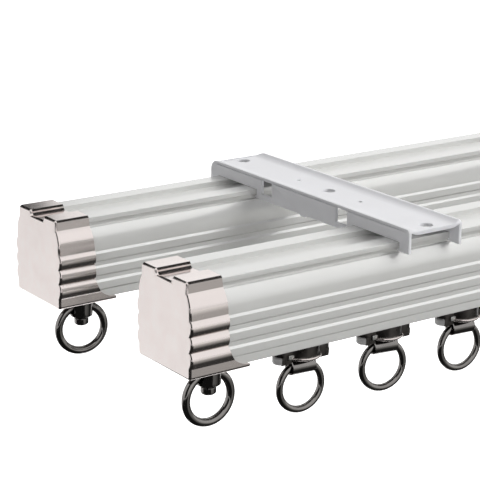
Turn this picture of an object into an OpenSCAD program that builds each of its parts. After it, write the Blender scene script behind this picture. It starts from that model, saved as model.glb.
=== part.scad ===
// Double curtain track: two aluminium rails under two ceiling brackets, with plated
// end caps and ring gliders. The track runs along X, Z is up, and the origin is the
// centre of the ceiling screw pattern on the upper face of the bracket plates.

/* [Track] */
// Length of the track over its end caps
overall_l = 324; // [284:2:600]
// Distance between the middles of the two rails
rail_pitch = 78; // [64:1:110]

/* [Rail] */
// Height of a rail from its lips to the top of its ridges
rail_h = 28; // [26:0.5:34]
// Width of a rail over its side ribs
rail_w = 28; // [27:0.5:34]
// How far the side ribs stand proud
rib_proud = 0.5; // [0.3:0.1:0.8]
// Height of one side rib
rib_h = 3.25; // [2.5:0.25:4]
// Height of the slope on top of each side rib
rib_slope = 0.8; // [0.4:0.1:1]
// Distance from one side rib to the next
rib_pitch = 5.03; // [4.6:0.01:5.4]
// Height of the groove below each side rib
groove_h = 0.4; // [0.2:0.05:0.5]
// Depth of the groove below each side rib
groove_d = 0.4; // [0.2:0.05:0.6]
// Height of the lowest rib's middle above the rail's bottom
rib_low_z = 4.82; // [4:0.02:6]
// Number of ribs on each side
rib_n = 3; // [1:1:3]
// Clear width of the channel between the two top ridges
ridge_gap = 10.6; // [8:0.2:12]
// Width of one top ridge
ridge_w = 6.2; // [5:0.1:7]
// Depth of the channel between the ridges
channel_d = 1.8; // [1:0.1:2.5]
// Thickness of the ridge lip that the brackets hook under
lip_t = 1.8; // [1.2:0.1:2.2]
// Height of the undercut below the ridge lip
undercut_h = 1.6; // [1.4:0.1:2.4]
// Depth of the undercut below the ridge lip
undercut_d = 0.9; // [0.8:0.1:1.2]
// Height of the rounded shoulder
shoulder_h = 5.5; // [4:0.5:7]
// Width of the rounded shoulder
shoulder_w = 1.6; // [1.2:0.1:2.4]
// Thickness of the rail's walls
rail_t = 1.3; // [1:0.1:1.6]
// Thickness of the lips that the wheels run on
track_t = 1.5; // [1.2:0.1:2]
// Width of the slot between the lips
slot_w = 9; // [8.6:0.1:11]

/* [End cap] */
// Clearance between a cap and the rail in it
cap_fit = 0.1; // [0.05:0.05:0.3]
// Thickness of the cap's sleeve
cap_t = 0.9; // [0.8:0.1:1.2]
// Thickness of the cap's end wall
cap_end_t = 1.4; // [1:0.1:2]
// Thickness of the cap's bottom wall
cap_floor_t = 1.2; // [1:0.1:1.6]
// Radius of the cap's lower edges
cap_edge_r = 1.1; // [0.6:0.1:1.2]
// Rise of each rounded wave on the cap's sides
wave_rise = 0.9; // [0.3:0.1:1.1]
// Length of the cap along its top
cap_top_l = 12.8; // [11:0.2:15]
// Length of the cap along its sides
cap_side_l = 13.8; // [12:0.2:16]
// Length of the cap along its bottom
cap_tongue_l = 22; // [21.6:0.2:26]

/* [Cap stud] */
// Distance of the stud's axis from the cap's end face
stud_x = 16.6; // [16:0.2:17.8]
// Diameter of the stud's head under the cap
stud_d = 8.4; // [8:0.2:9.6]
// Length of the stud's head
stud_h = 8.4; // [8:0.1:10]
// Length of the cone below the stud's head
stud_cone_h = 1; // [0.5:0.1:3]
// Diameter of the stud's end knob
knob_d = 5; // [4.4:0.2:6.8]
// Length of the stud's end knob
knob_h = 2.45; // [1.5:0.05:3]
// Diameter of the shank that turns in the cap
stud_shank_d = 3.8; // [3:0.2:4.4]

/* [Rings] */
// Middle diameter of a cap ring
cap_ring_d = 16.6; // [16:0.2:18]
// Wire diameter of a cap ring
cap_ring_wire = 2.8; // [2.4:0.1:3]
// Middle diameter of a glider ring
ring_d = 16; // [15.6:0.2:17]
// Wire diameter of a glider ring
ring_wire = 2.4; // [2:0.1:2.6]

/* [Gliders] */
// Distance of the first glider from the end of the track
first_glider_x = 52.5; // [50:0.5:60]
// Distance from one glider to the next
glider_pitch = 34.3; // [34:0.1:40]
// Number of gliders on each rail
glider_n = 3; // [1:1:3]
// Length of a glider over its bumpers
glider_l = 21.8; // [20.8:0.1:22.6]
// Width of a glider's body
glider_w = 5.2; // [4.6:0.1:6]
// Gap between a glider's body and the rail above it
glider_gap = 0.3; // [0.2:0.05:0.5]
// Height of a glider's body under the rail
glider_h = 6.2; // [5.6:0.1:7]
// Height of the bumpers at a glider's ends
bumper_h = 2.7; // [2:0.1:3]
// Length of one bumper
bumper_l = 2.8; // [2.4:0.1:3]
// Diameter of the round housing in a glider's middle
drum_d = 12; // [11.6:0.1:13]
// Height of the round housing in a glider's middle
drum_h = 7.7; // [7.2:0.1:8]
// Diameter of the bead round the housing's lower edge
bead_d = 1.2; // [0.4:0.1:1.4]
// Diameter of a wheel
wheel_d = 8.6; // [7.6:0.1:9]
// Width of a wheel
wheel_w = 3.2; // [2.6:0.1:3.6]
// Distance between the two wheel axles
axle_pitch = 9.8; // [9.4:0.1:10.4]
// Diameter of a wheel axle
axle_d = 2.4; // [2:0.1:2.8]
// Clearance between a wheel and what it runs on and beside
wheel_gap = 0.2; // [0.1:0.05:0.3]

/* [Ring eye] */
// Length of the barrel that holds the ring
barrel_l = 8.8; // [8:0.1:9.2]
// Wall of the barrel that holds the ring
barrel_t = 0.65; // [0.5:0.05:0.8]
// Diameter of the stem that turns in the glider
stem_d = 3.8; // [3:0.1:4.4]
// Clearance of a turning pin in its hole
pin_fit = 0.06; // [0.03:0.01:0.1]
// Clearance of a ring in its hole
ring_fit = 0.12; // [0.1:0.02:0.3]

/* [Bracket] */
// Distance between the two brackets
bracket_pitch = 138; // [100:2:200]
// Width of a bracket's outer legs, between its ends and the arches over the rails
end_leg_w = 4.7; // [2:0.1:24]
// Width of a bracket over its flanges
bracket_w = 22.5; // [20:0.5:30]
// Thickness of the bracket's sheet
sheet_t = 1.2; // [1:0.1:1.5]
// Height of the rims above the bracket's plate
rim_h = 1.1; // [0.6:0.1:2]
// Width of the flat middle of the plate, from which it curves up to its rims
plate_flat = 12; // [8:0.5:14]
// Height from the ridges of a rail up to the plate's face
seat_h = 4; // [3:0.1:6]
// Gap between a leg's end and the rail's shoulder below it
leg_clear = 0.3; // [0.2:0.05:0.5]
// Radius of the flanges' upper corners at the front end
front_r = 1.5; // [1.2:0.1:4]
// Radius of the flanges' upper corners at the back end
back_r = 3.5; // [1.2:0.1:4]
// Gap between a ridge and the leg beside it
leg_gap = 0.5; // [0.3:0.1:0.7]
// Gap between a foot and the rail's side behind the ridge lip
foot_clear = 0.4; // [0.2:0.05:0.6]
// Thickness of a foot
foot_h = 0.8; // [0.6:0.05:0.9]
// Width of the windows beside the inner legs
window_w = 6; // [4:0.5:7]
// Distance from a window to the arch over the rail beside it
window_off = 2.9; // [2:0.1:6]
// Diameter of the screw holes
screw_d = 4.4; // [3.5:0.1:5]
// Distance from the middle screw hole to the outer ones
screw_reach = 50.8; // [46:0.2:51]
// Diameter of the small pin holes
pin_hole_d = 1.5; // [1:0.1:2.5]
// Distance from the middle screw hole to the pin holes
pin_hole_reach = 17.2; // [12:0.2:24]

/* [Hidden] */
$fn = 96;
// One overrun serves every cut that goes right through
over = 1;

// Rail places, with the rail's bottom at height 0
ledge_z = rail_h - lip_t - undercut_h;
shoulder_z = ledge_z - shoulder_h;
ridge_out = ridge_gap / 2 + ridge_w;
ridge_y = (ridge_gap + ridge_w) / 2;
recess_w = rail_w - 2 * rib_proud;
shoulder_r = (pow(shoulder_w, 2) + pow(shoulder_h, 2)) / (2 * shoulder_w);
shoulder_y = recess_w / 2 - shoulder_r;
rail_z = -seat_h - rail_h;
rail_l = overall_l - 2 * cap_end_t;

// Cap places
cap_grow = cap_fit + cap_t;
cap_base = cap_fit + cap_floor_t;
flare_r = cap_tongue_l - cap_side_l;
wave_r = (pow(rib_pitch / 2, 2) + pow(wave_rise, 2)) / (2 * wave_rise);
wave_y = recess_w / 2 + cap_grow + wave_rise - wave_r;

// A ring's arc rises and falls inside its straight hole, and the hole takes both
function ring_top(d, wire) = (d + wire) / 2;
function ring_low(d, wire, l) = sqrt(pow((d - wire) / 2, 2) - pow(l / 2, 2));
function hole_up(d, wire, l) = (ring_top(d, wire) + ring_low(d, wire, l)) / 2;
function hole_r(d, wire, l) = (ring_top(d, wire) - ring_low(d, wire, l)) / 2 + ring_fit;

// Cap stud places, downwards from the rail's bottom
stud_gap = 0.2;
stud_top = -cap_base - stud_gap;
stud_low = stud_top - stud_h;
stud_taper = 0.3;
stud_waist = 0.4;
stud_wall = 0.7;
knob_edge = 0.6;
stud_hole_r = hole_r(cap_ring_d, cap_ring_wire, stud_d);
stud_hole_z = stud_low + stud_wall + stud_hole_r;
cap_ring_z = stud_hole_z - hole_up(cap_ring_d, cap_ring_wire, stud_d);
stud_head_gap = 1.4;
stud_head_d = slot_w - 2 * stud_head_gap;
stud_head_h = 1;

// Glider places, downwards from the rail's bottom
body_top = -glider_gap;
body_low = body_top - glider_h;
drum_low = body_top - drum_h;
arm_overlap = 0.6;
arm_in = drum_d / 2 - arm_overlap;
bumper_x = glider_l / 2 - bumper_l;
bumper_proud = 0.3;
barrel_hole_r = hole_r(ring_d, ring_wire, barrel_l);
barrel_r = barrel_hole_r + barrel_t;
barrel_gap = 0.55;
barrel_z = drum_low - barrel_gap - barrel_r;
ring_z = barrel_z - hole_up(ring_d, ring_wire, barrel_l);
stem_ledge = 1;
stem_head_d = stem_d + 2 * stem_ledge;
stem_head_h = 1;
stem_roof = 0.4;
neck_gap = 0.4;
neck_w = slot_w - 2 * neck_gap;
neck_l = 13;
axle_z = track_t + wheel_gap + wheel_d / 2;
axle_wall = 2.1;
chassis_l = axle_pitch + axle_d + 2 * axle_wall;
chassis_top = axle_z + axle_d / 2 + axle_wall / 2;
wheel_y = neck_w / 2 + wheel_gap + wheel_w / 2;
axle_head_d = 4;
axle_head_h = 0.6;
axle_l = 2 * (wheel_y + wheel_w / 2 + wheel_gap + axle_head_h);
wheel_edge = 0.4;
wheel_rim = 1;
hub_wall = 1;
hub_d = axle_d + 2 * hub_wall;
web_t = 2;

// Bracket places
leg_h = lip_t + undercut_h - leg_clear;
leg_low = -seat_h - leg_h;
arch_half = ridge_out + leg_gap;
bracket_l = rail_pitch + 2 * (arch_half + end_leg_w);
foot_in = leg_gap + undercut_d - foot_clear;
dish_run = bracket_w / 2 - sheet_t - plate_flat / 2;
dish_r = (pow(dish_run, 2) + pow(rim_h, 2)) / (2 * rim_h);
window_y = rail_pitch / 2 - arch_half - window_off - window_w / 2;
window_head = 0.1;
window_sill = 2;
tab_w = 3;
tab_h = 0.6;

// Which way each ring is turned at rest, about the vertical
cap_turn = [[-1, -3], [-9, 5]];
glider_turn = [[-4, -8, -4], [-6, -2, -5]];

RAILS = ["front", "back"];
SIDES = ["left", "right"];
PIECES = ["carriage", "bumpers", "axles", "left_wheels", "right_wheels", "eye", "ring"];

// Draws a section of the rail's own plane along X for a length
module along(l) {
    rotate([90, 0, 90])
        linear_extrude(height = l)
            children();
}

// Places a shape at the distance y on both sides of the rail's middle plane
module both_sides(y) {
    for (s = [-1, 1])
        translate([s * y, 0])
            children();
}

// Body, shoulders and ridges of the rail as one filled outline, grown by g
module rail_core(g, low) {
    half = recess_w / 2 + g;
    translate([-half, low])
        square([2 * half, shoulder_z - low]);
    intersection() {
        both_sides(shoulder_y)
            translate([0, shoulder_z])
                circle(r = shoulder_r + g);
        translate([-half, shoulder_z])
            square([2 * half, ledge_z + g - shoulder_z]);
    }
    both_sides(ridge_y)
        translate([-ridge_w / 2 - g, ledge_z])
            square([ridge_w + 2 * g, rail_h + g - ledge_z]);
    translate([-ridge_gap / 2, ledge_z])
        square([ridge_gap, rail_h - channel_d + g - ledge_z]);
}

// The flat ribs down both sides, grown by g
module rail_ribs(g) {
    for (i = [0:rib_n - 1])
        translate([-rail_w / 2 - g, rib_low_z + i * rib_pitch - rib_h / 2 - g])
            square([rail_w + 2 * g, rib_h + 2 * g]);
}

// The hollow that the wheels run in, with the hollow ridges above it
module rail_hollow() {
    half = recess_w / 2 - rail_t;
    top_half = ridge_out - undercut_d - rail_t;
    pocket_in = ridge_gap / 2 + rail_t;
    translate([-half, track_t])
        square([2 * half, shoulder_z - track_t]);
    intersection() {
        both_sides(shoulder_y)
            translate([0, shoulder_z])
                circle(r = shoulder_r - rail_t);
        translate([-half, shoulder_z])
            square([2 * half, shoulder_h - rail_t]);
    }
    translate([-top_half, shoulder_z])
        square([2 * top_half, rail_h - channel_d - rail_t - shoulder_z]);
    both_sides((top_half + pocket_in) / 2)
        translate([(pocket_in - top_half) / 2, shoulder_z])
            square([top_half - pocket_in, rail_h - rail_t - shoulder_z]);
}

// The ribs on both sides of the rail, with sloped upper sides
module sloped_ribs() {
    wall = recess_w / 2;
    out = rail_w / 2;
    for (i = [0:rib_n - 1])
        translate([0, rib_low_z + i * rib_pitch - rib_h / 2])
            polygon([
                [-out, 0], [out, 0], [out, rib_h - rib_slope], [wall, rib_h], [-wall, rib_h],
                [-out, rib_h - rib_slope]
            ]);
}

// The narrow grooves in both sides of the rail, one below each rib
module rib_grooves() {
    for (i = [0:rib_n - 1])
        both_sides((recess_w - groove_d + over) / 2)
            translate([-(groove_d + over) / 2, rib_low_z + i * rib_pitch - rib_h / 2 - groove_h])
                square([groove_d + over, groove_h]);
}

module rail_section() {
    difference() {
        union() {
            rail_core(0, 0);
            sloped_ribs();
        }
        rib_grooves();
        rail_hollow();
        translate([-slot_w / 2, -over])
            square([slot_w, track_t + 2 * over]);
        both_sides(ridge_out + (over - undercut_d) / 2)
            translate([-(undercut_d + over) / 2, ledge_z])
                square([undercut_d + over, undercut_h]);
    }
}

module rail(y) {
    color("whitesmoke")
        translate([-rail_l / 2, y, rail_z])
            along(rail_l)
                rail_section();
}

// Outline of the cap: the rail's own outline with a rounded wave over each rib
module cap_outline() {
    half = recess_w / 2 + cap_grow;
    rail_core(cap_grow, cap_edge_r - cap_base);
    for (i = [0:rib_n - 1])
        both_sides(wave_y)
            translate([0, rib_low_z + i * rib_pitch])
                circle(r = wave_r);
    both_sides(half - cap_edge_r)
        translate([0, cap_edge_r - cap_base])
            circle(r = cap_edge_r);
    translate([cap_edge_r - half, -cap_base])
        square([2 * (half - cap_edge_r), cap_edge_r + over]);
}

// What the side view takes away: the step at the top and the round sweep to the tongue
module cap_side_cut() {
    translate([cap_tongue_l, flare_r])
        circle(r = flare_r);
    polygon([
        [cap_side_l, flare_r], [cap_side_l, shoulder_z], [cap_top_l, rail_h],
        [cap_top_l, rail_h + cap_grow + over], [cap_tongue_l + over, rail_h + cap_grow + over],
        [cap_tongue_l + over, flare_r]
    ]);
}

// A cap with its end face at X = 0 and the rail's bottom at Z = 0
module cap_shape() {
    difference() {
        along(cap_tongue_l)
            cap_outline();
        translate([cap_end_t, 0, 0])
            along(cap_tongue_l)
                union() {
                    rail_core(cap_fit, -cap_fit);
                    rail_ribs(cap_fit);
                }
        translate([0, rail_w, 0])
            rotate([90, 0, 0])
                linear_extrude(height = 2 * rail_w)
                    cap_side_cut();
        translate([stud_x, 0, -cap_base - over])
            cylinder(d = stud_shank_d + 2 * pin_fit, h = cap_floor_t + 2 * over);
    }
}

// Turned stud that hangs from the cap, cross-drilled for its ring
module stud_shape(turn) {
    top_r = stud_d / 2;
    shank_r = stud_shank_d / 2;
    head_low = -cap_fit + stud_gap;
    cone_low = stud_low - stud_cone_h;
    knob_low = cone_low - knob_h;
    waist_r = knob_d / 2 - stud_waist;
    difference() {
        rotate_extrude()
            polygon([
                [0, knob_low], [knob_d / 2 - knob_edge, knob_low], [knob_d / 2, knob_low + knob_edge],
                [knob_d / 2, cone_low], [waist_r, cone_low], [top_r - stud_taper, stud_low],
                [top_r, stud_top], [shank_r, stud_top], [shank_r, head_low],
                [stud_head_d / 2, head_low], [stud_head_d / 2, head_low + stud_head_h],
                [0, head_low + stud_head_h]
            ]);
        translate([0, 0, stud_hole_z])
            rotate([0, 90, turn])
                cylinder(r = stud_hole_r, h = stud_d + 2 * over, center = true);
    }
}

// A closed wire ring that hangs in the X-Z plane, turned about the vertical
module wire_ring(d, wire, turn) {
    rotate([90, 0, turn])
        rotate_extrude()
            translate([d / 2, 0])
                circle(d = wire);
}

// Stadium outline of a glider's body, l long over its round ends
module body_outline(l) {
    r = glider_w / 2;
    square([l - glider_w, glider_w], center = true);
    for (s = [-1, 1])
        translate([s * (l / 2 - r), 0])
            circle(r = r);
}

// Carriage: body and round housing under the rail, neck in the slot, chassis inside
module carriage() {
    stem_r = stem_d / 2 + pin_fit;
    head_r = stem_head_d / 2 + pin_fit;
    head_top = body_top - stem_roof;
    color("dimgray")
        difference() {
            union() {
                translate([0, 0, body_low])
                    linear_extrude(height = glider_h)
                        body_outline(glider_l - 2 * bumper_proud);
                for (s = [-1, 1])
                    translate([s * (arm_in + bumper_x) / 2, 0, body_low - bumper_h / 2])
                        cube([bumper_x - arm_in, glider_w, bumper_h], center = true);
                translate([0, 0, drum_low])
                    cylinder(d = drum_d, h = drum_h);
                translate([0, 0, drum_low + bead_d / 2])
                    rotate_extrude()
                        translate([drum_d / 2, 0])
                            circle(d = bead_d);
                translate([-neck_l / 2, -neck_w / 2, body_top - over])
                    cube([neck_l, neck_w, track_t + wheel_gap + over - body_top]);
                translate([-chassis_l / 2, -neck_w / 2, track_t + wheel_gap])
                    cube([chassis_l, neck_w, chassis_top - track_t - wheel_gap]);
            }
            translate([0, 0, drum_low - over])
                cylinder(r = stem_r, h = head_top - drum_low);
            translate([0, 0, head_top - stem_head_h - 2 * pin_fit])
                cylinder(r = head_r, h = stem_head_h + 2 * pin_fit);
            for (s = [-1, 1])
                translate([s * axle_pitch / 2, 0, axle_z])
                    rotate([90, 0, 0])
                        cylinder(d = axle_d + pin_fit / 2, h = neck_w + 2 * over, center = true);
        }
}

// The two soft bumpers at a glider's ends
module bumpers() {
    color("gainsboro")
        translate([0, 0, body_low - bumper_h])
            linear_extrude(height = bumper_h)
                difference() {
                    body_outline(glider_l);
                    square([2 * bumper_x, 2 * glider_w], center = true);
                }
}

// The two axles, each a pin with a flat head at both ends
module axles() {
    color("silver")
        for (s = [-1, 1])
            translate([s * axle_pitch / 2, 0, axle_z])
                rotate([90, 0, 0]) {
                    cylinder(d = axle_d, h = axle_l, center = true);
                    for (e = [-1, 1])
                        translate([0, 0, e * (axle_l - axle_head_h) / 2])
                            cylinder(d = axle_head_d, h = axle_head_h, center = true);
                }
}

// Section of one wheel: rim with broken edges, thin web and a hub round the axle
module wheel_section() {
    in_r = axle_d / 2 + pin_fit;
    rim_r = wheel_d / 2 - wheel_rim;
    w = wheel_w / 2;
    polygon([
        [in_r, -w], [hub_d / 2, -w], [hub_d / 2, -web_t / 2], [rim_r, -web_t / 2], [rim_r, -w],
        [wheel_d / 2 - wheel_edge, -w], [wheel_d / 2, wheel_edge - w],
        [wheel_d / 2, w - wheel_edge], [wheel_d / 2 - wheel_edge, w],
        [rim_r, w], [rim_r, web_t / 2], [hub_d / 2, web_t / 2], [hub_d / 2, w], [in_r, w]
    ]);
}

// The pair of wheels on one axle, s axle pitches from the glider's middle
module wheels(s) {
    color("white")
        translate([s * axle_pitch, 0, axle_z])
            for (e = [-1, 1])
                translate([0, e * wheel_y, 0])
                    rotate([90, 0, 0])
                        rotate_extrude()
                            wheel_section();
}

// Swivel eye: a barrel that holds the ring, on a stem that turns in the carriage
module eye(turn) {
    head_top = body_top - stem_roof - pin_fit;
    color("gray")
        difference() {
            union() {
                translate([0, 0, barrel_z])
                    rotate([0, 90, turn])
                        cylinder(r = barrel_r, h = barrel_l, center = true);
                translate([0, 0, barrel_z])
                    cylinder(d = stem_d, h = head_top - barrel_z);
                translate([0, 0, head_top - stem_head_h])
                    cylinder(d = stem_head_d, h = stem_head_h);
            }
            translate([0, 0, barrel_z])
                rotate([0, 90, turn])
                    cylinder(r = barrel_hole_r, h = barrel_l + 2 * over, center = true);
        }
}

// One piece of the glider g on the rail r, at its own place on the track
module glider_piece(r, g, piece) {
    turn = glider_turn[r][g - 1];
    translate([first_glider_x + (g - 1) * glider_pitch - overall_l / 2, rail_y(r), rail_z]) {
        if (piece == "carriage") carriage();
        if (piece == "bumpers") bumpers();
        if (piece == "axles") axles();
        if (piece == "left_wheels") wheels(-0.5);
        if (piece == "right_wheels") wheels(0.5);
        if (piece == "eye") eye(turn);
        if (piece == "ring") color("gray") translate([0, 0, ring_z]) wire_ring(ring_d, ring_wire, turn);
    }
}

// One piece of the end s of the rail r
module end_piece(r, s, piece) {
    turn = cap_turn[r][s];
    translate([(s == 0 ? -1 : 1) * overall_l / 2, rail_y(r), rail_z])
        mirror([s == 0 ? 0 : 1, 0, 0]) {
            if (piece == "cap") color("silver") cap_shape();
            if (piece == "stud") color("gray") translate([stud_x, 0, 0]) stud_shape(turn);
            if (piece == "cap_ring")
                color("gray") translate([stud_x, 0, cap_ring_z]) wire_ring(cap_ring_d, cap_ring_wire, turn);
        }
}

// Side view of a bracket along the track, before its arches and windows are cut
module bracket_side() {
    half = bracket_l / 2;
    translate([front_r - half, leg_low])
        square([bracket_l - front_r - back_r, rim_h - leg_low]);
    for (e = [[-1, front_r], [1, back_r]]) {
        translate([e[0] * (half - e[1]), rim_h - e[1]])
            circle(r = e[1]);
        translate([e[0] * (half - e[1] / 2) - e[1] / 2, leg_low])
            square([e[1], rim_h - e[1] - leg_low]);
    }
}

// Side flange of a bracket: arches over the rails, hooked feet, windows and a small tab
module flange_outline() {
    difference() {
        union() {
            bracket_side();
            translate([-tab_w / 2, leg_low - tab_h])
                square([tab_w, tab_h + over]);
        }
        both_sides(rail_pitch / 2)
            translate([-arch_half, leg_low - over])
                square([2 * arch_half, leg_h + over]);
        both_sides(window_y)
            translate([-window_w / 2, leg_low + window_sill])
                square([window_w, -window_head - leg_low - window_sill]);
    }
    for (s = [-1, 1])
        both_sides(rail_pitch / 2 + s * (arch_half - foot_in / 2))
            translate([-foot_in / 2, leg_low])
                square([foot_in, foot_h]);
}

// The flat with two round ends that a plate with the dish radius r is drawn from
module dish_outline(r) {
    translate([-plate_flat / 2, dish_r - r])
        square([plate_flat, 2 * r]);
    both_sides(plate_flat / 2)
        translate([0, dish_r])
            circle(r = r);
}

// Section of a bracket's plate: flat in the middle, curved up to the rims at its sides
module plate_section() {
    intersection() {
        translate([(sheet_t - bracket_w) / 2, -sheet_t])
            square([bracket_w - sheet_t, sheet_t + rim_h]);
        difference() {
            dish_outline(dish_r + sheet_t);
            dish_outline(dish_r);
        }
    }
}

// Folded sheet bracket at the place x along the track
module bracket(x) {
    color("white")
        translate([x, 0, 0])
            difference() {
                union() {
                    for (s = [-1, 1])
                        translate([s * (bracket_w - sheet_t) / 2 - sheet_t / 2, 0, 0])
                            along(sheet_t)
                                flange_outline();
                    intersection() {
                        rotate([90, 0, 0])
                            linear_extrude(height = bracket_l + 2 * over, center = true)
                                plate_section();
                        translate([-bracket_w / 2, 0, 0])
                            along(bracket_w)
                                bracket_side();
                    }
                }
                for (y = [-screw_reach, 0, screw_reach])
                    translate([0, y, -sheet_t - over])
                        cylinder(d = screw_d, h = sheet_t + 2 * over);
                for (y = [-pin_hole_reach, pin_hole_reach])
                    translate([0, y, -sheet_t - over])
                        cylinder(d = pin_hole_d, h = sheet_t + 2 * over);
            }
}

function rail_y(r) = (r == 0 ? -1 : 1) * rail_pitch / 2;

for (r = [0, 1])
    rail(rail_y(r));
for (s = [0, 1])
    bracket((s - 0.5) * bracket_pitch);
for (r = [0, 1], s = [0, 1], p = ["cap", "stud", "cap_ring"])
    end_piece(r, s, p);
for (r = [0, 1], g = [1:glider_n], p = PIECES)
    glider_piece(r, g, p);
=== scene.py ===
"""Dresses a double curtain track: white coated rails and brackets, plated caps and ring gliders."""

import logging
import math
from dataclasses import dataclass, field
from enum import Enum
from typing import Callable

import bpy
from mathutils import Matrix, Vector


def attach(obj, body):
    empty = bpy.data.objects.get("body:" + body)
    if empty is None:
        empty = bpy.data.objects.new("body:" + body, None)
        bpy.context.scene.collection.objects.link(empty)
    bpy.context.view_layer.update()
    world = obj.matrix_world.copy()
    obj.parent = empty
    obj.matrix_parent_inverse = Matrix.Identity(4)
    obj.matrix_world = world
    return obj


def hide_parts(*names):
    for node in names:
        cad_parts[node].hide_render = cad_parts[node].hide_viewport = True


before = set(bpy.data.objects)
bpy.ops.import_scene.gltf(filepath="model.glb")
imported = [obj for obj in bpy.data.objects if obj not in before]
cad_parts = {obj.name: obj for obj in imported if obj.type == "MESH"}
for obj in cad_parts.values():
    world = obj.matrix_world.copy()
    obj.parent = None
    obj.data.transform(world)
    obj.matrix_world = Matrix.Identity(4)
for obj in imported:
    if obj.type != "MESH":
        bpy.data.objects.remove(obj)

log = logging.getLogger("curtain_track")
MM = 0.001
WELD = 2e-6


class Rail(Enum):
    """The two rails, by the side of the track's middle that they are on."""

    FRONT = -1
    BACK = 1

    @property
    def y(self) -> float:
        """Middle plane of the rail in millimetres."""
        return self.value * 39.0


class End(Enum):
    """The two ends of the track, by their direction along X."""

    LEFT = -1
    RIGHT = 1


class Grain(Enum):
    """Which way a finish's fine marks run: none, along the track, or round a turned part."""

    EVEN = (1.0, 1.0, 1.0)
    ALONG = (0.02, 1.0, 1.0)
    TURNED = (0.35, 0.35, 1.0)


def linear(hex_colour: str) -> tuple[float, float, float, float]:
    """Turns an sRGB hex colour into a linear colour.

    Args:
        hex_colour: Six hex digits after a hash sign.

    Returns:
        Red, green, blue and alpha 1.
    """
    parts = [int(hex_colour[i : i + 2], 16) / 255 for i in (1, 3, 5)]
    r, g, b = (c / 12.92 if c <= 0.04045 else ((c + 0.055) / 1.055) ** 2.4 for c in parts)
    return (r, g, b, 1.0)


def add_node(
    tree: bpy.types.NodeTree,
    kind: str,
    settings: dict[str, object] | None = None,
    links: dict[str, bpy.types.NodeSocket] | None = None,
) -> bpy.types.Node:
    """Adds one shader node with its settings and links.

    Args:
        tree: Node tree that the node goes into.
        kind: Blender's name of the node type.
        settings: Values by input name, or by attribute name where no input has it.
        links: Output sockets by the name of the input that they feed.

    Returns:
        The new node.
    """
    made = tree.nodes.new(kind)
    for name, value in (settings or {}).items():
        if name in made.inputs:
            made.inputs[name].default_value = value
        else:
            setattr(made, name, value)
    for name, socket in (links or {}).items():
        tree.links.new(socket, made.inputs[name])
    return made


def empty_material(name: str) -> bpy.types.Material:
    """Makes a material with an empty node tree."""
    material = bpy.data.materials.new(name)
    material.use_nodes = True
    material.node_tree.nodes.clear()
    return material


def grain_noise(tree: bpy.types.NodeTree, size_mm: float, grain: Grain, detail: float) -> bpy.types.NodeSocket:
    """Adds noise whose cells have a real size.

    Args:
        tree: Node tree that the noise goes into.
        size_mm: Size of one cell across the grain.
        grain: Which way the cells are drawn out.
        detail: How many finer layers are added.

    Returns:
        The noise's value socket.
    """
    where = add_node(tree, "ShaderNodeTexCoord")
    scaled = add_node(
        tree, "ShaderNodeMapping", {"Scale": tuple(k / (size_mm * MM) for k in grain.value)}, {"Vector": where.outputs["Object"]}
    )
    noise = add_node(tree, "ShaderNodeTexNoise", {"Scale": 1.0, "Detail": detail}, {"Vector": scaled.outputs["Vector"]})
    return noise.outputs["Fac"]


@dataclass(frozen=True)
class Finish:
    """A finish with two near colours, a varying roughness and a fine relief, all at a real scale."""

    name: str
    colour: str
    shade: str
    metallic: float
    roughness: tuple[float, float]
    patch_mm: float
    relief_mm: float
    relief: float
    grain: Grain = Grain.EVEN
    coat: float = 0.0
    sheen: float = 0.0

    def make(self) -> bpy.types.Material:
        """Builds the material.

        Returns:
            The material, with its patterns on Object coordinates.
        """
        material = empty_material(self.name)
        tree = material.node_tree
        patches = grain_noise(tree, self.patch_mm, self.grain, 3.0)
        tone = add_node(
            tree,
            "ShaderNodeValToRGB",
            links={"Fac": patches},
        )
        ramp = tone.color_ramp
        ramp.elements[0].position, ramp.elements[1].position = 0.3, 0.7
        ramp.elements[0].color, ramp.elements[1].color = linear(self.shade), linear(self.colour)
        rough = add_node(
            tree,
            "ShaderNodeMapRange",
            {"From Min": 0.3, "From Max": 0.7, "To Min": self.roughness[0], "To Max": self.roughness[1]},
            {"Value": patches},
        )
        bump = add_node(
            tree,
            "ShaderNodeBump",
            {"Strength": self.relief, "Distance": 0.05 * MM},
            {"Height": grain_noise(tree, self.relief_mm, self.grain, 2.0)},
        )
        shader = add_node(
            tree,
            "ShaderNodeBsdfPrincipled",
            {"Metallic": self.metallic, "Coat Weight": self.coat, "Coat Roughness": 0.12, "Sheen Weight": self.sheen},
            {"Base Color": tone.outputs["Color"], "Roughness": rough.outputs["Result"], "Normal": bump.outputs["Normal"]},
        )
        add_node(tree, "ShaderNodeOutputMaterial", links={"Surface": shader.outputs["BSDF"]})
        return material


# Polyester powder coat baked on aluminium: satin white, with the extrusion's die lines
# faintly showing through along the rail. The lines are drawn 0.6 mm apart, coarser than real.
RAIL_COAT = Finish("white_powder_coat_on_extruded_aluminium", "#ECECEA", "#E7E7E5", 0.45, (0.22, 0.28), 30.0, 0.6, 0.08, Grain.ALONG)
# The same coat on pressed steel, where it shows a soft orange peel of about a millimetre.
BRACKET_COAT = Finish("white_powder_coat_on_pressed_steel", "#F0F0F3", "#EBEBEE", 0.0, (0.32, 0.42), 12.0, 1.1, 0.10)
# Satin nickel plate on a zinc casting: warm grey, with soft reflections drawn out along the
# polishing direction.
CAP_NICKEL = Finish("satin_nickel_plate_on_cast_zinc", "#EDE4E1", "#E5DCD9", 1.0, (0.15, 0.19), 6.0, 0.5, 0.04, Grain.ALONG)
# Black nickel plate on steel wire and on turned parts: dark and bright at once, like dark chrome.
RING_NICKEL = Finish("black_nickel_plate_on_steel_wire", "#908D8B", "#858280", 1.0, (0.09, 0.14), 4.0, 0.4, 0.04)
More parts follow.
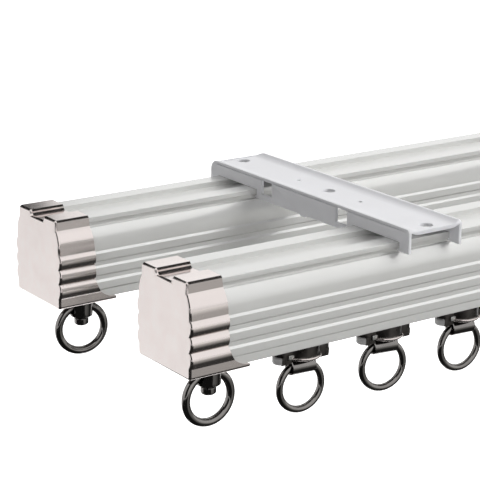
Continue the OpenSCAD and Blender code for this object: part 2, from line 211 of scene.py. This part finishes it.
# Dull dark zinc plate on the pressed gliders, with a fine crystal grain.
GLIDER_ZINC = Finish("dark_zinc_plate_on_pressed_steel", "#5A5755", "#4B4846", 1.0, (0.24, 0.36), 3.0, 0.35, 0.15)
# Ground steel pins with turning marks.
PIN_STEEL = Finish("ground_steel_pin", "#C4C4C2", "#B5B5B3", 1.0, (0.2, 0.3), 2.0, 0.2, 0.1, Grain.TURNED)
# Moulded nylon 6 of the wheels: off-white and waxy, with a fine moulded texture.
WHEEL_NYLON = Finish("moulded_nylon_wheel", "#E9E6DC", "#E2DED3", 0.0, (0.4, 0.5), 5.0, 0.4, 0.1)
# Soft clear-grey nylon of the bumpers, polished by the mould, so it has a wet gloss.
BUMPER_NYLON = Finish("soft_moulded_nylon_bumper", "#C9C8C8", "#BDBCBC", 0.0, (0.16, 0.24), 4.0, 0.5, 0.05, coat=0.4)


def deselect() -> None:
    """Leaves edit mode's whole selection and the scene's selection empty."""
    if bpy.context.object and bpy.context.object.mode != "OBJECT":
        bpy.ops.object.mode_set(mode="OBJECT")
    bpy.ops.object.select_all(action="DESELECT")


def edit(piece: bpy.types.Object) -> None:
    """Selects only this piece and opens it in edit mode with nothing selected in it."""
    deselect()
    bpy.context.view_layer.objects.active = piece
    piece.select_set(True)
    bpy.ops.object.mode_set(mode="EDIT")
    bpy.ops.mesh.select_mode(type="EDGE")
    bpy.ops.mesh.select_all(action="DESELECT")


def pick_edges(piece: bpy.types.Object, wanted: Callable[[Vector, Vector], bool], sharp_deg: float = 0.0) -> None:
    """Selects the edges whose two ends pass a test, and returns to edit mode.

    Args:
        piece: Object in edit mode.
        wanted: Test on the two ends in millimetres.
        sharp_deg: Smallest angle between an edge's faces.
    """
    bpy.ops.mesh.select_all(action="DESELECT")
    bpy.ops.mesh.edges_select_sharp(sharpness=math.radians(sharp_deg))
    bpy.ops.object.mode_set(mode="OBJECT")
    mesh = piece.data
    for face in mesh.polygons:
        face.select = False
    for edge in mesh.edges:
        a, b = (mesh.vertices[i].co / MM for i in edge.vertices)
        edge.select = edge.select and wanted(a, b)
    bpy.ops.object.mode_set(mode="EDIT")


def settle(piece: bpy.types.Object, smooth_deg: float = 32.0) -> None:
    """Puts the piece's place into its mesh, merges doubles, turns faces outwards and smooths it."""
    bpy.ops.object.mode_set(mode="OBJECT")
    deselect()
    bpy.context.view_layer.objects.active = piece
    piece.select_set(True)
    bpy.ops.object.transform_apply(location=True, rotation=True, scale=True)
    bpy.ops.object.mode_set(mode="EDIT")
    bpy.ops.mesh.select_all(action="SELECT")
    bpy.ops.mesh.remove_doubles(threshold=WELD)
    bpy.ops.mesh.normals_make_consistent(inside=False)
    bpy.ops.object.mode_set(mode="OBJECT")
    shade(piece, smooth_deg)


def modify(piece: bpy.types.Object, kind: str, **settings: object) -> None:
    """Adds a modifier with its settings and applies it."""
    deselect()
    bpy.context.view_layer.objects.active = piece
    piece.select_set(True)
    made = piece.modifiers.new(kind.lower(), kind)
    for name, value in settings.items():
        setattr(made, name, value)
    bpy.ops.object.modifier_apply(modifier=made.name)


def shade(piece: bpy.types.Object, smooth_deg: float = 32.0) -> None:
    """Smooths a piece over its small angles, with its large faces kept flat."""
    deselect()
    bpy.context.view_layer.objects.active = piece
    piece.select_set(True)
    bpy.ops.object.shade_smooth_by_angle(angle=math.radians(smooth_deg))
    modify(piece, "WEIGHTED_NORMAL", keep_sharp=True, weight=100)


def finish_piece(
    piece: bpy.types.Object, body: str, material: bpy.types.Material, slot: str, *stands_for: str
) -> bpy.types.Object:
    """Dresses a piece, lets it ride on its body and hides the CAD nodes that it stands for.

    Args:
        piece: The settled piece.
        body: CAD body that it rides on.
        material: Its finish.
        slot: Not used.
        stands_for: CAD nodes that it replaces.

    Returns:
        The piece.
    """
    piece.data.materials.clear()
    piece.data.materials.append(material)
    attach(piece, body)
    if stands_for:
        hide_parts(*stands_for)
    log.info("%s on %s: %d faces", piece.name, body, len(piece.data.polygons))
    return piece


def welded(node: str, name: str) -> bpy.types.Object:
    """Copies a CAD solid, merges its doubles and its flat triangles, and leaves it in edit mode.

    Args:
        node: CAD node that is copied.
        name: Name of the new piece.

    Returns:
        The new piece.
    """
    piece = bpy.data.objects.new(name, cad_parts[node].data.copy())
    bpy.context.scene.collection.objects.link(piece)
    edit(piece)
    bpy.ops.mesh.select_all(action="SELECT")
    bpy.ops.mesh.remove_doubles(threshold=WELD)
    bpy.ops.mesh.dissolve_limited(angle_limit=math.radians(0.4))
    bpy.ops.mesh.customdata_custom_splitnormals_clear()
    return piece


def outline_loop(mesh: bpy.types.Mesh, x: float) -> list[int]:
    """Walks round the one closed loop of edges that lies in a plane across the track.

    Args:
        mesh: Mesh that was cut at the plane.
        x: The plane's place in metres.

    Returns:
        The loop's vertices in order.
    """
    beside: dict[int, list[int]] = {}
    for edge in mesh.edges:
        a, b = edge.vertices
        if all(abs(mesh.vertices[i].co.x - x) < WELD for i in (a, b)):
            beside.setdefault(a, []).append(b)
            beside.setdefault(b, []).append(a)
    loop = [next(iter(beside))]
    while len(loop) < len(beside):
        onward = [i for i in beside[loop[-1]] if i not in loop[-2:]]
        if not onward or onward[0] == loop[0]:
            break
        loop.append(onward[0])
    return loop


def inward_ways(loop: list[Vector]) -> list[Vector]:
    """Finds, for each corner of a flat loop, the way that moves both its edges in by one unit.

    Args:
        loop: The loop's corners in order, in a plane across the track.

    Returns:
        One vector for each corner, in the loop's plane.
    """
    area = sum(a.y * b.z - b.y * a.z for a, b in zip(loop, loop[1:] + loop[:1]))
    turn = 1 if area > 0 else -1
    ways = []
    for i, here in enumerate(loop):
        before, after = (here - loop[i - 1]).normalized(), (loop[(i + 1) % len(loop)] - here).normalized()
        a, b = (Vector((0, -turn * edge.z, turn * edge.y)) for edge in (before, after))
        ways.append((a + b) / max(1 + a.dot(b), 0.5))
    return ways


def softened(node: str, name: str, radius_mm: float, smooth_deg: float = 32.0) -> bpy.types.Object:
    """Copies a CAD solid, welds it and rounds its sharp edges as a coated or cast part's are.

    Args:
        node: CAD node that is copied.
        name: Name of the new piece.
        radius_mm: Radius of the rounding.
        smooth_deg: Largest angle that is shaded smooth.

    Returns:
        The new piece, settled.
    """
    piece = welded(node, name)
    bpy.ops.object.mode_set(mode="OBJECT")
    modify(
        piece,
        "BEVEL",
        width=radius_mm * MM,
        segments=2,
        limit_method="ANGLE",
        angle_limit=math.radians(38),
        use_clamp_overlap=False,
    )
    shade(piece, smooth_deg)
    return piece


@dataclass
class Wardrobe:
    """Every finish of the track, made once."""

    rail: bpy.types.Material = field(default_factory=RAIL_COAT.make)
    bracket: bpy.types.Material = field(default_factory=BRACKET_COAT.make)
    cap: bpy.types.Material = field(default_factory=CAP_NICKEL.make)
    ring: bpy.types.Material = field(default_factory=RING_NICKEL.make)
    glider: bpy.types.Material = field(default_factory=GLIDER_ZINC.make)
    pin: bpy.types.Material = field(default_factory=PIN_STEEL.make)
    wheel: bpy.types.Material = field(default_factory=WHEEL_NYLON.make)
    bumper: bpy.types.Material = field(default_factory=BUMPER_NYLON.make)

    def dress(self, node: str, material: bpy.types.Material) -> None:
        """Gives a CAD node its finish in every material slot."""
        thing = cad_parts[node]
        for place in thing.material_slots:
            place.link = "OBJECT"
            place.material = material
        log.info("%s: %s", node, material.name)


@dataclass
class TrackRail:
    """One extruded rail, with its die-rounded rib and ridge edges."""

    rail: Rail
    edge_r: float = 0.18

    def build(self, finishes: Wardrobe) -> None:
        """Copies the rail, rounds its long edges, with the cut ends left sharp, and dresses it."""
        node = f"{self.rail.name.lower()}_rail"
        piece = welded(node, f"{node}_extrusion")
        pick_edges(piece, lambda a, b: abs(a.x - b.x) > self.edge_r, 38.0)
        bpy.ops.mesh.bevel(offset=self.edge_r * MM, segments=2, affect="EDGES", clamp_overlap=False)
        bpy.ops.object.mode_set(mode="OBJECT")
        shade(piece, 30.0)
        finish_piece(piece, "root", finishes.rail, "white_coated_aluminium", node)


@dataclass
class CeilingBracket:
    """One folded and stamped bracket, with the soft edges of a thick coat."""

    end: End
    edge_r: float = 0.28
    pitch: float = 138.0
    half_w: float = 11.25
    groove_w: float = 0.36
    groove_d: float = 0.55
    groove_y: tuple[float, float] = (-54.0, 52.0)

    def build(self, finishes: Wardrobe) -> None:
        """Copies the bracket, presses a fold line into each rim and dresses it."""
        node = f"{self.end.name.lower()}_bracket"
        piece = softened(node, f"{node}_pressing", self.edge_r)
        x = self.end.value * self.pitch / 2
        self.press_line(piece, (x - self.half_w, 0.1), (2 * self.groove_d, self.groove_w))
        self.press_line(piece, (x + self.half_w - 1.2, 0.3), (self.groove_w, 2 * self.groove_d))
        shade(piece)
        finish_piece(piece, "root", finishes.bracket, "white_coated_steel", node)

    def press_line(self, piece: bpy.types.Object, at: tuple[float, float], size: tuple[float, float]) -> None:
        """Cuts a thin line across the rails into the bracket.

        Args:
            piece: The bracket.
            at: Place of the line's middle along X and Z.
            size: Its size along X and Z.
        """
        deselect()
        y = sum(self.groove_y) / 2
        bpy.ops.mesh.primitive_cube_add(size=MM, location=Vector((at[0], y, at[1])) * MM)
        cutter = bpy.context.object
        cutter.scale = (size[0], self.groove_y[1] - self.groove_y[0], size[1])
        bpy.ops.object.transform_apply(location=True, rotation=True, scale=True)
        modify(piece, "BOOLEAN", operation="DIFFERENCE", object=cutter, solver="EXACT")
        bpy.data.objects.remove(cutter, do_unlink=True)


@dataclass
class Ring:
    """A closed wire ring, spun from its wire section."""

    centre: tuple[float, float, float]
    middle_d: float
    wire_d: float
    turn_deg: float
    steps: int = 96
    section_n: int = 28

    def build(self, name: str) -> bpy.types.Object:
        """Spins the ring.

        Args:
            name: Name of the new piece.

        Returns:
            The settled ring.
        """
        turn = math.radians(self.turn_deg)
        middle = Vector(self.centre)
        start = middle + Vector((math.cos(turn), math.sin(turn), 0)) * (self.middle_d / 2)
        deselect()
        bpy.ops.mesh.primitive_circle_add(
            vertices=self.section_n, radius=self.wire_d / 2 * MM, location=start * MM, rotation=(0, 0, turn)
        )
        piece = bpy.context.object
        piece.name = name
        bpy.ops.object.mode_set(mode="EDIT")
        bpy.ops.mesh.select_all(action="SELECT")
        bpy.ops.mesh.spin(
            steps=self.steps, angle=2 * math.pi, center=middle * MM, axis=(-math.sin(turn), math.cos(turn), 0)
        )
        settle(piece, 60.0)
        return piece


@dataclass
class CapEnd:
    """One end of a rail: plated cap, turned stud and ring."""

    rail: Rail
    end: End
    turn_deg: float
    overall_l: float = 324.0
    stud_x: float = 16.6
    ring_z: float = -46.554
    ring_d: float = 16.6
    wire_d: float = 2.8
    face_r: float = 0.9
    face_steps: int = 5
    chamfer: float = 0.6
    ridge_edges: tuple[tuple[float, float], ...] = ((4.3, -3.0), (12.5, -3.0), (4.3, -4.8))

    @property
    def prefix(self) -> str:
        """Start of the names of this end's CAD nodes."""
        return f"{self.rail.name.lower()}_{self.end.name.lower()}"

    def on_ridge(self, corner: Vector) -> bool:
        """Tells whether a corner lies on a long edge of the ridges, or where one runs into the rounded end.

        Args:
            corner: A corner of the cap in millimetres.
        """
        reach = 1.5 * self.face_r if abs(corner.x) > self.overall_l / 2 - self.face_r - 0.01 else 0.05
        y = abs(corner.y - self.rail.y)
        return any(math.hypot(y - edge_y, corner.z - edge_z) < reach for edge_y, edge_z in self.ridge_edges)

    def cap(self) -> bpy.types.Object:
        """Copies the cast cap, rounds its end face's whole outline in steps, and then chamfers the long edges of its
        ridges.
        """
        node = f"{self.prefix}_cap"
        side = self.end.value
        face_x = side * self.overall_l / 2
        piece = welded(node, f"{node}_casting")
        bpy.ops.mesh.select_all(action="SELECT")
        bpy.ops.mesh.bisect(
            plane_co=((face_x - side * self.face_r) * MM, 0, 0), plane_no=(side, 0, 0), clear_outer=True
        )
        bpy.ops.mesh.remove_doubles(threshold=0.03 * MM)
        bpy.ops.mesh.select_mode(type="VERT")
        bpy.ops.object.mode_set(mode="OBJECT")
        rim = outline_loop(piece.data, face_x / 1000 - side * self.face_r * MM)
        start = [piece.data.vertices[i].co.copy() for i in rim]
        inward = inward_ways(start)
        for step in range(1, self.face_steps + 1):
            angle = math.radians(90 * step / self.face_steps)
            for vertex in piece.data.vertices:
                vertex.select = False
            for i in rim:
                piece.data.vertices[i].select = True
            bpy.ops.object.mode_set(mode="EDIT")
            bpy.ops.mesh.extrude_region_move()
            bpy.ops.object.mode_set(mode="OBJECT")
            fresh = {tuple(round(c, 7) for c in v.co): v.index for v in piece.data.vertices if v.select}
            rim = [fresh[tuple(round(c, 7) for c in piece.data.vertices[i].co)] for i in rim]
            for i, old, way in zip(rim, start, inward):
                moved = old + way * (self.face_r * (1 - math.cos(angle)) * MM)
                moved.x = old.x + side * self.face_r * math.sin(angle) * MM
                piece.data.vertices[i].co = moved
        bpy.ops.object.mode_set(mode="EDIT")
        bpy.ops.mesh.edge_face_add()
        bpy.ops.mesh.select_all(action="SELECT")
        bpy.ops.mesh.normals_make_consistent(inside=False)
        bpy.ops.mesh.select_mode(type="EDGE")
        pick_edges(piece, lambda a, b: abs(a.x - b.x) > 0.12 and self.on_ridge(a) and self.on_ridge(b), 55.0)
        bpy.ops.mesh.bevel(offset=self.chamfer * MM, segments=1, affect="EDGES", clamp_overlap=False)
        bpy.ops.object.mode_set(mode="OBJECT")
        shade(piece)
        return piece

    def build(self, finishes: Wardrobe) -> None:
        """Builds and dresses the cap, its stud and its ring."""
        finish_piece(self.cap(), "root", finishes.cap, "polished_nickel", f"{self.prefix}_cap")
        stud = softened(f"{self.prefix}_stud", f"{self.prefix}_stud_turning", 0.15)
        finish_piece(stud, f"{self.prefix}_stud", finishes.ring, "black_nickel", f"{self.prefix}_stud")
        middle = (self.end.value * (self.overall_l / 2 - self.stud_x), self.rail.y, self.ring_z)
        ring = Ring(middle, self.ring_d, self.wire_d, self.turn_deg).build(f"{self.prefix}_cap_ring_wire")
        finish_piece(ring, f"{self.prefix}_cap_ring", finishes.ring, "black_nickel", f"{self.prefix}_cap_ring")


@dataclass
class Glider:
    """One ring glider: carriage with its side lug, bumpers, wheels on axles, eye and ring."""

    rail: Rail
    number: int
    turn_deg: float
    first_x: float = -109.5
    pitch: float = 34.3
    rail_low_z: float = -32.0
    body_half_w: float = 2.6
    bumper_x: float = 8.1
    bumper_end: float = 10.9
    pad_x: float = 9.3
    bumper_top: float = -6.5
    bumper_h: float = 2.7
    bumper_r: float = 0.75
    housing_d: float = 12.0
    bead_z: float = -7.4
    bead_r: float = 0.63
    ring_z: float = -50.52
    ring_d: float = 16.0
    wire_d: float = 2.4
    edge_r: float = 0.22

    @property
    def prefix(self) -> str:
        """Start of the names of this glider's CAD nodes and bodies."""
        return f"{self.rail.name.lower()}_glider_{self.number}"

    @property
    def x(self) -> float:
        """Middle of the glider along the track."""
        return self.first_x + (self.number - 1) * self.pitch

    def bumper(self, side: int) -> bpy.types.Object:
        """Moulds one bumper: a round-ended pad cut flat where it meets the body.

        Args:
            side: -1 for the left end and 1 for the right end.

        Returns:
            The settled bumper.
        """
        low = self.rail_low_z + self.bumper_top - self.bumper_h
        middle = Vector((self.x + side * (self.bumper_end - self.body_half_w), self.rail.y, low + self.bumper_h / 2))
        deselect()
        bpy.ops.mesh.primitive_cylinder_add(
            vertices=48, radius=self.body_half_w * MM, depth=self.bumper_h * MM, location=middle * MM
        )
        piece = bpy.context.object
        bpy.ops.object.mode_set(mode="EDIT")
        bpy.ops.mesh.select_all(action="SELECT")
        bpy.ops.mesh.bisect(
            plane_co=((self.x + side * self.pad_x) * MM, 0, 0),
            plane_no=(side, 0, 0),
            clear_inner=True,
            use_fill=True,
        )
        bpy.ops.mesh.select_all(action="DESELECT")
        bpy.ops.object.mode_set(mode="OBJECT")
        bpy.ops.object.transform_apply(location=True, rotation=True, scale=True)
        bpy.ops.object.mode_set(mode="EDIT")
        pick_edges(piece, lambda a, b: abs(a.z - b.z) < 0.01 and max(abs(a.x - self.x), abs(b.x - self.x)) > self.pad_x + 0.05)
        bpy.ops.mesh.bevel(offset=self.bumper_r * MM, segments=4, affect="EDGES")
        settle(piece)
        return piece

    def collar(self, side: int) -> bpy.types.Object:
        """Presses the dark collar that holds a bumper on its arm.

        Args:
            side: -1 for the left end and 1 for the right end.

        Returns:
            The settled collar.
        """
        low = self.rail_low_z + self.bumper_top - self.bumper_h
        middle = Vector((self.x + side * (self.bumper_x + self.pad_x) / 2, self.rail.y, low + self.bumper_h / 2))
        deselect()
        bpy.ops.mesh.primitive_cube_add(size=MM, location=middle * MM)
        piece = bpy.context.object
        piece.name = f"{self.prefix}_{'left' if side < 0 else 'right'}_collar"
        piece.scale = (self.pad_x - self.bumper_x, 2 * self.body_half_w, self.bumper_h)
        bpy.ops.object.transform_apply(location=True, rotation=True, scale=True)
        edit(piece)
        pick_edges(piece, lambda a, b: abs(a.x - b.x) > self.edge_r)
        bpy.ops.mesh.bevel(offset=self.edge_r * MM, segments=3, affect="EDGES")
        settle(piece)
        return piece

    def bead(self) -> bpy.types.Object:
        """Rolls the polished bead round the lower edge of the housing."""
        middle = Vector((self.x, self.rail.y, self.rail_low_z + self.bead_z))
        deselect()
        bpy.ops.mesh.primitive_torus_add(
            location=middle * MM,
            major_segments=72,
            minor_segments=20,
            major_radius=self.housing_d / 2 * MM,
            minor_radius=self.bead_r * MM,
        )
        piece = bpy.context.object
        piece.name = f"{self.prefix}_bead"
        settle(piece, 60.0)
        return piece

    def lug(self) -> bpy.types.Object:
        """Presses the small lug out of the body's front side: a block with a raised, rounded tip."""
        out = Vector((self.x - 5.9, self.rail.y - self.body_half_w - 0.25, self.rail_low_z - 6.8))
        deselect()
        bpy.ops.mesh.primitive_cube_add(size=MM, location=out * MM, scale=(2.6, 0.7, 1.8))
        piece = bpy.context.object
        piece.name = f"{self.prefix}_lug"
        bpy.ops.object.transform_apply(location=True, rotation=True, scale=True)
        edit(piece)
        front = out.y - 0.3
        pick_edges(piece, lambda a, b: a.y < front and b.y < front)
        bpy.ops.mesh.bevel(offset=0.3 * MM, segments=3, affect="EDGES")
        settle(piece)
        return piece

    def build(self, finishes: Wardrobe) -> None:
        """Builds and dresses every piece of the glider."""
        name = self.prefix
        shell = softened(f"{name}_carriage", f"{name}_carriage_shell", self.edge_r)
        finish_piece(shell, name, finishes.glider, "dark_plated_zinc", f"{name}_carriage")
        finish_piece(self.lug(), name, finishes.pin, "steel_pin")
        finish_piece(self.bead(), name, finishes.cap, "polished_nickel")
        for side in (-1, 1):
            finish_piece(self.collar(side), name, finishes.glider, "dark_plated_zinc")
        pads = [self.bumper(-1), self.bumper(1)]
        deselect()
        for pad in pads:
            pad.select_set(True)
        bpy.context.view_layer.objects.active = pads[0]
        bpy.ops.object.join()
        pads[0].name = f"{name}_bumper_pads"
        finish_piece(pads[0], name, finishes.bumper, "soft_nylon", f"{name}_bumpers")
        eye = softened(f"{name}_eye", f"{name}_eye_barrel", 0.15)
        finish_piece(eye, f"{name}_eye", finishes.ring, "black_nickel", f"{name}_eye")
        ring = Ring((self.x, self.rail.y, self.ring_z), self.ring_d, self.wire_d, self.turn_deg).build(f"{name}_ring_wire")
        finish_piece(ring, f"{name}_ring", finishes.ring, "black_nickel", f"{name}_ring")
        finishes.dress(f"{name}_axles", finishes.pin)
        finishes.dress(f"{name}_left_wheels", finishes.wheel)
        finishes.dress(f"{name}_right_wheels", finishes.wheel)


@dataclass(frozen=True)
class PhotoCamera:
    """The photograph's camera, in millimetres, degrees and pixels of its 480 pixel frame."""

    place: tuple[float, float, float] = (-429.817, -455.355, 154.545)
    yaw: float = 54.6085
    pitch: float = -16.5782
    roll: float = 0.6572
    focal_px: float = 1739.47
    frame_px: float = 480.0
    sensor_mm: float = 36.0

    def build(self) -> None:
        """Makes the camera and sets it as the scene's."""
        yaw, pitch, roll = (math.radians(v) for v in (self.yaw, self.pitch, self.roll))
        ahead = Vector((math.cos(pitch) * math.cos(yaw), math.cos(pitch) * math.sin(yaw), math.sin(pitch)))
        level = Vector((math.sin(yaw), -math.cos(yaw), 0))
        over = level.cross(ahead)
        right = math.cos(roll) * level + math.sin(roll) * over
        up = -math.sin(roll) * level + math.cos(roll) * over
        data = bpy.data.cameras.new("photo_camera")
        data.sensor_width = self.sensor_mm
        data.lens = self.focal_px / self.frame_px * self.sensor_mm
        data.clip_start, data.clip_end = 0.02, 40.0
        camera = bpy.data.objects.new("photo_camera", data)
        bpy.context.scene.collection.objects.link(camera)
        turn = Matrix((right, up, -ahead)).transposed().to_4x4()
        camera.matrix_world = Matrix.Translation(Vector(self.place) * MM) @ turn
        bpy.context.scene.camera = camera


@dataclass(frozen=True)
class Card:
    """A glowing card that only reflections see, which paints dark and graded reflections into the metal: its middle and
    sides in metres, its tilt in degrees.

    Its glow is a list of (share of the way along its Y side, level).
    """

    name: str
    centre: tuple[float, float, float]
    size: tuple[float, float]
    tilt: tuple[float, float, float]
    glow: tuple[tuple[float, float], ...] = ((0.0, 0.02), (1.0, 0.02))
    warmth: float = 0.97


# Painted reflections: glowing sheets that only reflections see, dark as flags or graded from bright to black across the
# front screen, so the plated caps and rings show dark and bright bands.
CARDS = (
    Card(
        "front_low_screen",
        (1.35, -1.0, -0.29),
        (2.9, 2.0),
        (0, 0, 0),
        ((0.0, 0.97), (0.3, 0.78), (0.55, 0.5), (0.75, 0.28), (0.85, 0.04)),
    ),
    Card("left_low_flag", (-0.8, -0.6, -0.285), (1.45, 1.8), (0, 0, 0)),
    Card("left_high_flag", (-1.3, -1.0, 0.6), (1.5, 1.6), (0, 90, 0)),
    Card("overhead_flag", (0.65, -0.15, 1.0), (1.1, 1.2), (0, 0, 0), ((0.0, 0.03), (1.0, 0.03))),
    Card("back_high_flag", (-0.3, 1.6, 1.05), (2.0, 1.5), (90, 0, 0)),
)


@dataclass(frozen=True)
class Studio:
    """Pale floor, white surroundings, soft lamps, and dark cards that only reflections see."""

    floor_z: float = -320.0
    ambient: float = 0.32
    key_w: float = 16.0
    fill_w: float = 3.5
    floor_in_metal: float = 0.5

    def world(self) -> None:
        """White where the camera, metal or clear parts look, and a plain level elsewhere."""
        world = bpy.data.worlds.new("studio_white")
        world.use_nodes = True
        tree = world.node_tree
        tree.nodes.clear()
        path = add_node(tree, "ShaderNodeLightPath")
        seen = add_node(
            tree,
            "ShaderNodeMath",
            {"operation": "ADD"},
        )
        tree.links.new(path.outputs["Is Camera Ray"], seen.inputs[0])
        tree.links.new(path.outputs["Is Glossy Ray"], seen.inputs[1])
        clear = add_node(tree, "ShaderNodeMath", {"operation": "ADD", "use_clamp": True})
        tree.links.new(seen.outputs[0], clear.inputs[0])
        tree.links.new(path.outputs["Is Transmission Ray"], clear.inputs[1])
        level = add_node(tree, "ShaderNodeMapRange", {"To Min": self.ambient, "To Max": 1.0}, {"Value": clear.outputs[0]})
        light = add_node(tree, "ShaderNodeBackground", {"Color": (1, 1, 1, 1)}, {"Strength": level.outputs["Result"]})
        add_node(tree, "ShaderNodeOutputWorld", links={"Surface": light.outputs["Background"]})
        bpy.context.scene.world = world

    def floor(self) -> None:
        """A pale floor that shows white, keeps the object's shadow and is clear from below."""
        deselect()
        bpy.ops.mesh.primitive_plane_add(size=24.0, location=(0, 0, self.floor_z * MM))
        floor = bpy.context.object
        floor.name = "pale_floor"
        material = empty_material("pale_floor_paint")
        tree = material.node_tree
        path = add_node(tree, "ShaderNodeLightPath")
        seen = add_node(tree, "ShaderNodeMath", {"operation": "MULTIPLY_ADD"})
        tree.links.new(path.outputs["Is Glossy Ray"], seen.inputs[0])
        seen.inputs[1].default_value = self.floor_in_metal
        tree.links.new(path.outputs["Is Camera Ray"], seen.inputs[2])
        glow = add_node(tree, "ShaderNodeEmission", {"Color": (1, 1, 1, 1)}, {"Strength": seen.outputs[0]})
        paint = add_node(tree, "ShaderNodeBsdfDiffuse", {"Color": linear("#EDEDED")})
        both = add_node(tree, "ShaderNodeAddShader")
        tree.links.new(glow.outputs[0], both.inputs[0])
        tree.links.new(paint.outputs[0], both.inputs[1])
        sides = add_node(tree, "ShaderNodeNewGeometry")
        clear = add_node(tree, "ShaderNodeBsdfTransparent")
        one_way = add_node(tree, "ShaderNodeMixShader", links={"Fac": sides.outputs["Backfacing"]})
        tree.links.new(both.outputs[0], one_way.inputs[1])
        tree.links.new(clear.outputs[0], one_way.inputs[2])
        add_node(tree, "ShaderNodeOutputMaterial", links={"Surface": one_way.outputs[0]})
        floor.data.materials.append(material)

    def card(self, card: Card) -> None:
        """Stands a glowing card where only reflections see it, as a painted reflection: dark like a studio's flag, or
        graded like a screen.

        Args:
            card: Its place, its size and how bright it is from one side to the other.
        """
        deselect()
        bpy.ops.mesh.primitive_plane_add(
            size=1.0, location=card.centre, rotation=tuple(math.radians(v) for v in card.tilt)
        )
        sheet = bpy.context.object
        sheet.name = card.name
        sheet.scale = (card.size[0], card.size[1], 1)
        material = empty_material(f"{card.name}_felt")
        tree = material.node_tree
        where = add_node(tree, "ShaderNodeTexCoord")
        axes = add_node(tree, "ShaderNodeSeparateXYZ", links={"Vector": where.outputs["Object"]})
        across = add_node(tree, "ShaderNodeMapRange", {"From Min": -0.5, "From Max": 0.5}, {"Value": axes.outputs["Y"]})
        ramp = add_node(tree, "ShaderNodeValToRGB", links={"Fac": across.outputs["Result"]})
        points = ramp.color_ramp.elements
        while len(points) < len(card.glow):
            points.new(0.5)
        for point, (place, level) in zip(points, card.glow):
            point.position, point.color = place, (level, level, level * card.warmth, 1.0)
        # The card's glow is a painted reflection: light from no lamp that only glossy rays see.
        glow = add_node(tree, "ShaderNodeEmission", {"Strength": 1.0}, {"Color": ramp.outputs["Color"]})
        add_node(tree, "ShaderNodeOutputMaterial", links={"Surface": glow.outputs[0]})
        sheet.data.materials.append(material)
        sheet.visible_camera = sheet.visible_shadow = sheet.visible_diffuse = sheet.visible_transmission = False

    def lamp(self, name: str, place: tuple[float, float, float], watts: float, size: float) -> None:
        """Hangs a square soft lamp that looks at the track.

        Args:
            name: Name of the lamp.
            place: Its middle in metres.
            watts: Its power.
            size: Its side in metres.
        """
        data = bpy.data.lights.new(name, "AREA")
        data.shape, data.size, data.energy = "SQUARE", size, watts
        lamp = bpy.data.objects.new(name, data)
        bpy.context.scene.collection.objects.link(lamp)
        lamp.location = place
        lamp.visible_glossy = False
        lamp.rotation_mode = "QUATERNION"
        lamp.rotation_quaternion = (Vector(place) - Vector((0, 0, -0.02))).to_track_quat("Z", "Y")

    def build(self) -> None:
        """Sets the world, the floor, the cards and the lamps."""
        self.world()
        self.floor()
        for card in CARDS:
            self.card(card)
        self.lamp("key_softbox", (0.8, -0.65, 0.95), self.key_w, 0.9)
        self.lamp("back_softbox", (0.6, 0.9, 1.1), self.fill_w, 0.9)
        bpy.context.scene.view_settings.view_transform = "Standard"


def main() -> None:
    """Builds the studio and every sub-assembly of the track."""
    logging.basicConfig(level=logging.INFO, format="%(name)s %(message)s")
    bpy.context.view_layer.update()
    PhotoCamera().build()
    Studio().build()
    finishes = Wardrobe()
    for rail in Rail:
        TrackRail(rail).build(finishes)
    for end in End:
        CeilingBracket(end).build(finishes)
    cap_turns = {Rail.FRONT: (-1, 3), Rail.BACK: (-9, -5)}
    glider_turns = {Rail.FRONT: (-4, -8, -4), Rail.BACK: (-6, -2, -5)}
    for rail in Rail:
        for end, turn in zip(End, cap_turns[rail]):
            CapEnd(rail, end, turn).build(finishes)
        for number, turn in enumerate(glider_turns[rail], 1):
            Glider(rail, number, turn).build(finishes)
    bpy.context.view_layer.update()


if __name__ == "__main__":
    main()
